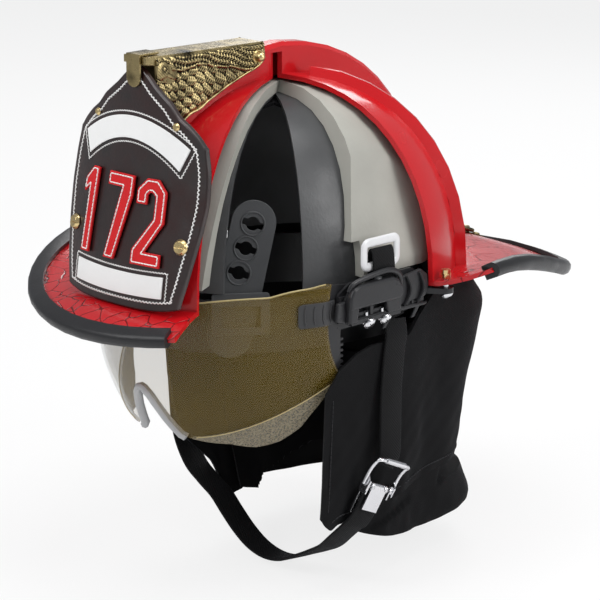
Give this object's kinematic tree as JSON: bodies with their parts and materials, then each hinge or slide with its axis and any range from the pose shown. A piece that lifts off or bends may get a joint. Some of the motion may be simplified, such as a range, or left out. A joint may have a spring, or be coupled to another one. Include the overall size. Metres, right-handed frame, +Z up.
{
  "type": "traditional fire helmet",
  "caption": "Traditional fire helmet with a long rear brim, leather front shield, brass eagle, retracting face visor, neck curtain and chin strap, cut away on one side to show its layers.",
  "frame": {"origin": "on the centre axis of the dome, level with the foot of the dome, where it meets the brim: the middle of the head that wears it", "axes": "+X to the wearer's left, the side with the cutaway; +Y to the rear; +Z up. The front shield faces -Y."},
  "size_m": [0.2903, 0.4084, 0.3457],
  "materials": {
    "shell_red": "gloss",
    "trim_rubber": "satin",
    "liner_foam": "matte",
    "cap_grey": "satin",
    "webbing_black": "matte",
    "band_black": "satin",
    "pad_cloth": "matte",
    "tab_grey": "satin",
    "shield_leather": "satin",
    "panel_white": "satin",
    "number_red": "satin",
    "bright_brass": "polished",
    "aged_brass": "aged",
    "lens_amber": "polished",
    "guard_rubber": "matte",
    "bracket_black": "satin",
    "grip_grey": "satin",
    "steel_bright": "polished",
    "ring_white": "gloss",
    "curtain_cloth": "matte"
  },
  "bodies": {
    "helmet": {"outer_shell": "shell_red", "edge_trim": "trim_rubber", "impact_liner": "liner_foam", "inner_cap": "cap_grey", "crown_straps": "webbing_black", "headband": "band_black", "brow_pad": "pad_cloth", "key_tab_left": "tab_grey", "key_tab_right": "tab_grey", "tab_buckles": "tab_grey", "ratchet_housing": "band_black", "ratchet_cover": "band_black", "nape_pad": "pad_cloth", "front_shield": "shield_leather", "shield_upper_panel": "panel_white", "shield_lower_panel": "panel_white", "shield_number": "number_red", "shield_screws": "bright_brass", "shield_rivets": "bright_brass", "eagle_holder": "aged_brass", "eagle_clip": "aged_brass", "eagle_screw": "bright_brass", "pivot_pin_left": "steel_bright", "pivot_pin_right": "steel_bright", "side_bracket_left": "bracket_black", "side_bracket_right": "bracket_black", "bracket_cover_left": "bracket_black", "bracket_cover_right": "bracket_black", "bracket_screws": "steel_bright", "bracket_nuts": "bright_brass", "strap_ring_left": "ring_white", "strap_ring_right": "ring_white", "ring_strap_left": "webbing_black", "ring_strap_right": "webbing_black", "chin_strap": "webbing_black", "buckle_plate": "steel_bright", "buckle_frame": "steel_bright", "curtain": "curtain_cloth", "neck_flap": "curtain_cloth", "curtain_band": "band_black", "hanger_bracket": "aged_brass", "hanger_rivets": "aged_brass"},
    "visor": {"visor_lens": "lens_amber", "nose_guard": "guard_rubber", "visor_arm_left": "bracket_black", "visor_arm_right": "bracket_black", "visor_grip_left": "grip_grey", "visor_grip_right": "grip_grey"},
    "knob": {"ratchet_knob": "band_black"},
    "left_rack": {"rack_left": "tab_grey"},
    "right_rack": {"rack_right": "tab_grey"},
    "lever": {"buckle_lever": "steel_bright"},
    "ring": {"hanger_ring": "aged_brass"}
  },
  "joints": [
    {"name": "visor_retract", "type": "hinge", "parent": "helmet", "child": "visor", "pos_m": [0, 0.022, -0.006], "axis": [-1, 0, 0], "range_deg": [0, 45]},
    {"name": "ratchet_turn", "type": "hinge", "parent": "helmet", "child": "knob", "pos_m": [0, 0.1, -0.019], "axis": [0, -1, 0], "range_deg": [0, 140]},
    {"name": "left_rack_slide", "type": "hinge", "parent": "helmet", "child": "left_rack", "pos_m": [0, 0.021, -0.019], "axis": [0, 0, 1], "range_deg": [0, 9]},
    {"name": "right_rack_slide", "type": "hinge", "parent": "helmet", "child": "right_rack", "pos_m": [0, 0.021, -0.019], "axis": [0, 0, -1], "range_deg": [0, 9]},
    {"name": "buckle_open", "type": "hinge", "parent": "helmet", "child": "lever", "pos_m": [0.10031, -0.00863, -0.12416], "axis": [0, -0.9135, 0.4067], "range_deg": [0, 100]},
    {"name": "hanging_ring_swing", "type": "hinge", "parent": "helmet", "child": "ring", "pos_m": [-0.02539, 0.20679, -0.01421], "axis": [-0.9925, -0.1219, 0], "range_deg": [0, 150]}
  ],
  "couplings": [
    {"joint": "left_rack_slide", "follows": "ratchet_turn", "ratio": 0.06305},
    {"joint": "right_rack_slide", "follows": "ratchet_turn", "ratio": 0.06305}
  ]
}
